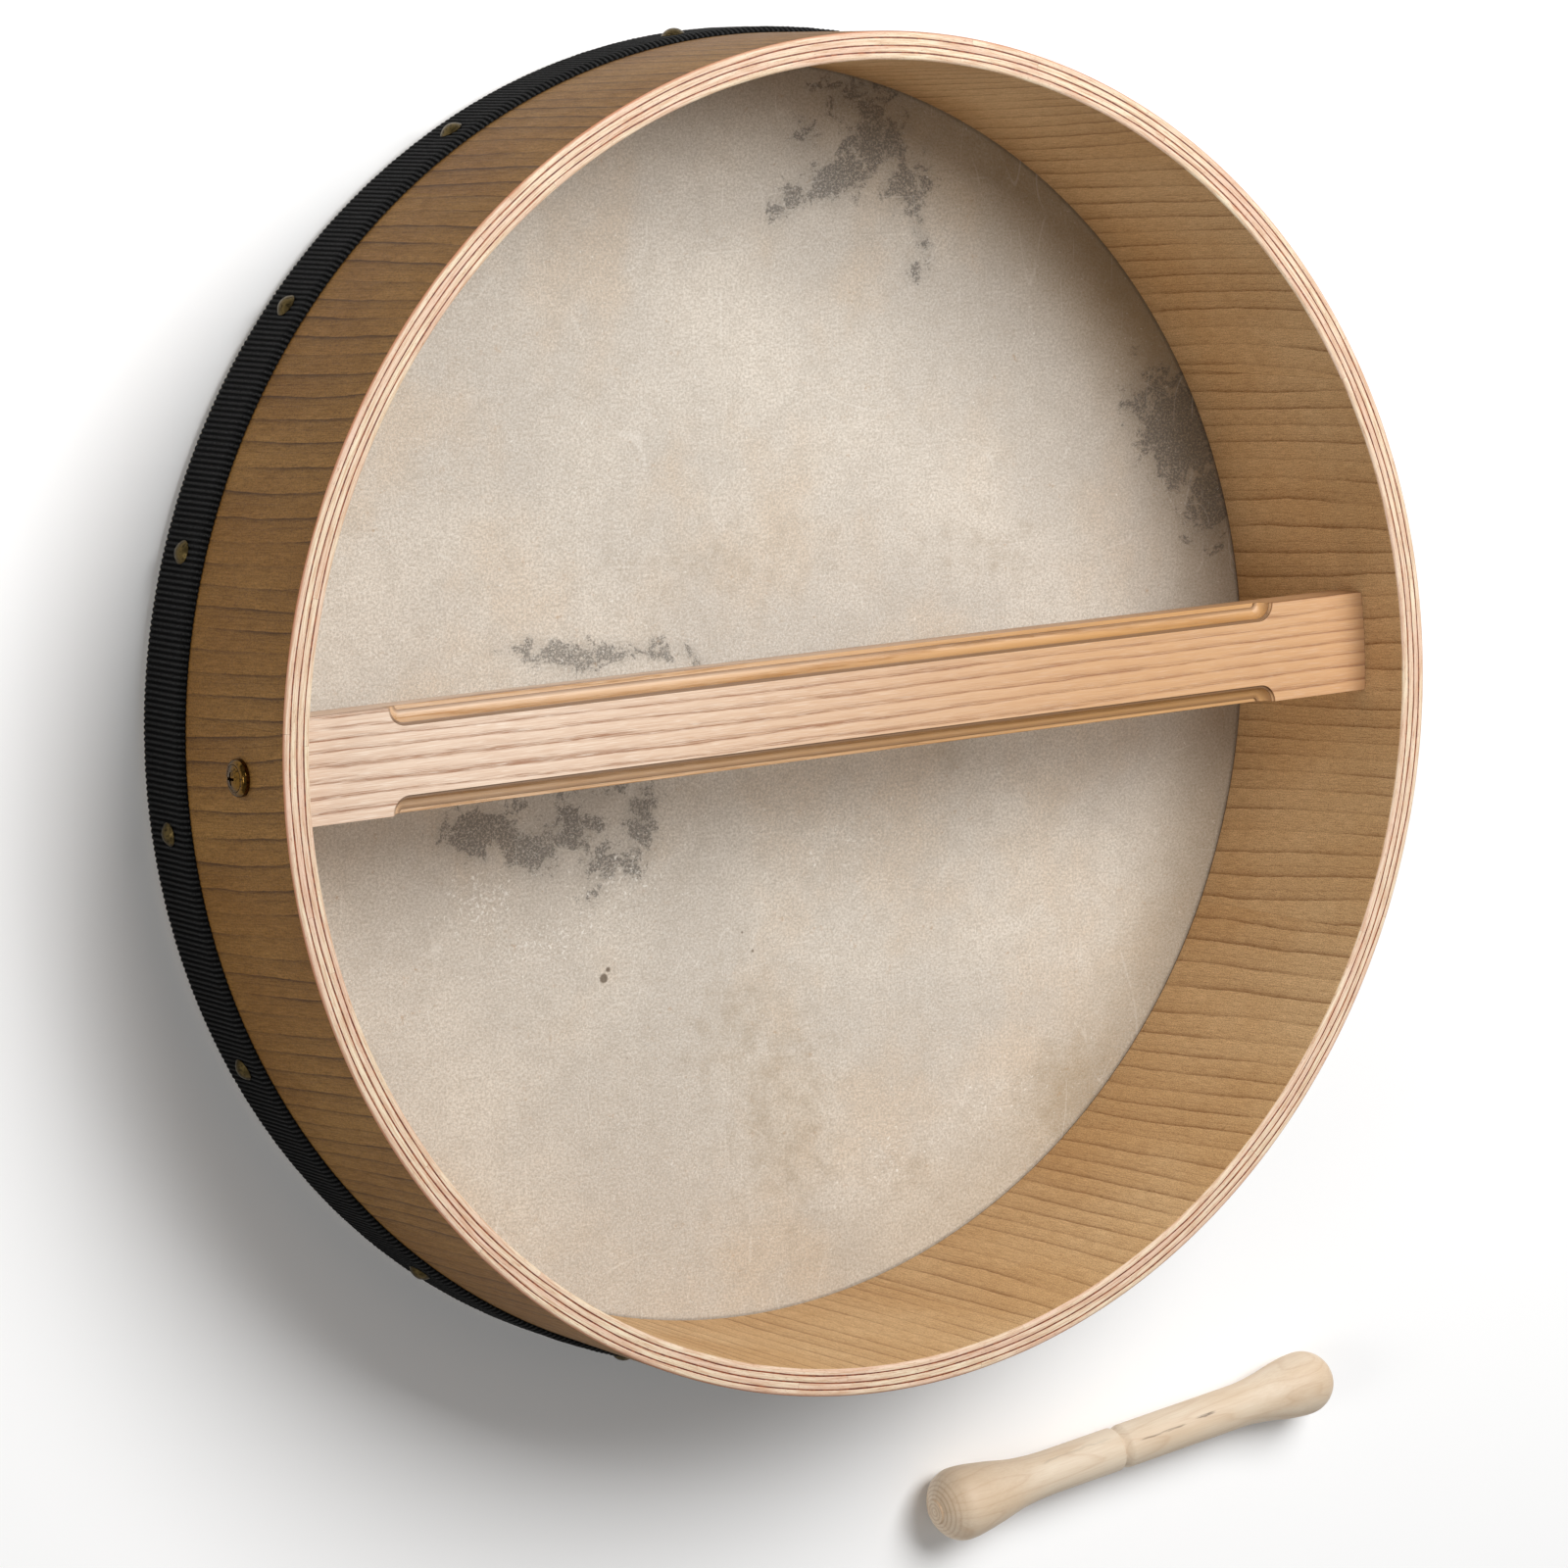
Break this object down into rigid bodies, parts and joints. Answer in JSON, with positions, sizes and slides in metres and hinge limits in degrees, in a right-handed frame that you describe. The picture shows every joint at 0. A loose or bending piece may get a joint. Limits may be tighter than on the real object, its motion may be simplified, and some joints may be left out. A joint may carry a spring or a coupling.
{
  "type": "frame drum with beater",
  "caption": "Single-headed frame drum with a laminated wooden hoop, a stretched hide, a crossbar hand hold and a double-ended turned beater.",
  "frame": {"origin": "centre of the playing face, on the hide's outer surface", "axes": "+Z along the drum's axis from the playing face to the open rim, +X along the crossbar; the beater lies on the playing face's plane, on the -Y side"},
  "size_m": [0.4736, 0.5441, 0.096],
  "materials": {
    "hoop_wood": "satin clear lacquer over straight grain",
    "hide": "dry scraped goat hide, mottled",
    "tape": "ribbed black webbing",
    "tack_brass": "antiqued",
    "screw_brass": "polished",
    "bar_wood": "satin clear lacquer",
    "tipper_wood": "turned and sanded, unstained"
  },
  "bodies": {
    "drum": {"ply_outer": "hoop_wood", "ply_second": "hoop_wood", "ply_third": "hoop_wood", "ply_inner": "hoop_wood", "drum_skin": "hide", "edge_tape": "tape", "tacks": "tack_brass", "crossbar": "bar_wood", "bar_screws": "screw_brass", "cup_washers": "screw_brass"},
    "tipper": {"tipper": "tipper_wood"}
  },
  "joints": [
    {"name": "tipper_lift", "type": "slide", "parent": "drum", "child": "tipper", "axis": [0, 0, 1], "range_m": [0, 0.25]}
  ]
}
